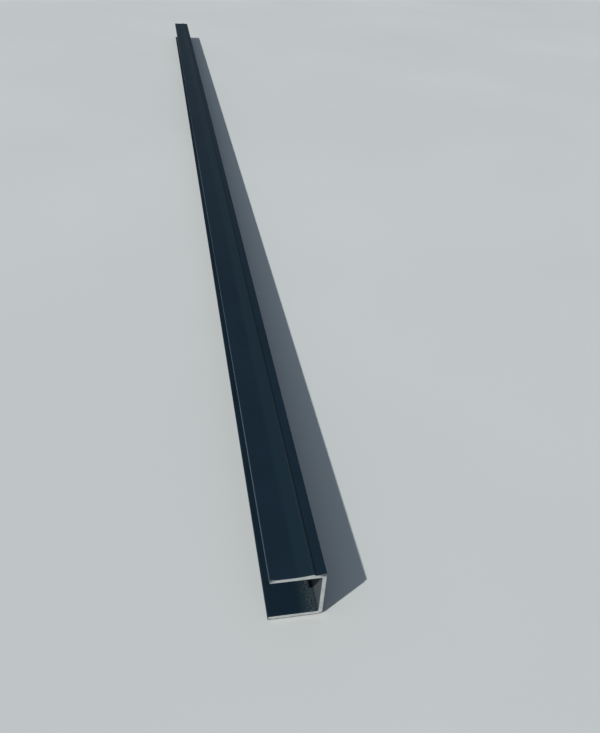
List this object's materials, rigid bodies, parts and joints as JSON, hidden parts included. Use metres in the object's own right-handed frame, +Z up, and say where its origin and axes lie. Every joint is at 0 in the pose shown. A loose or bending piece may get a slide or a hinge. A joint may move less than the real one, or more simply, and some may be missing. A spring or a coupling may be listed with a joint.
{
  "type": "aluminium extrusion profile",
  "caption": "Straight U-section aluminium edge channel, powder coated dark grey-blue, with a low ridge along one flange and bare sawn ends; it takes the edge of a sheet.",
  "frame": {"origin": "middle of the bar's length and width, on the floor that its lower flange lies on", "axes": "+Y along the bar, +X across the flanges towards the web's outer face, +Z up"},
  "size_m": [0.018, 1, 0.0205],
  "materials": {
    "powder_coat": "satin"
  },
  "bodies": {
    "root": {"edge_channel": "powder_coat"}
  },
  "joints": []
}
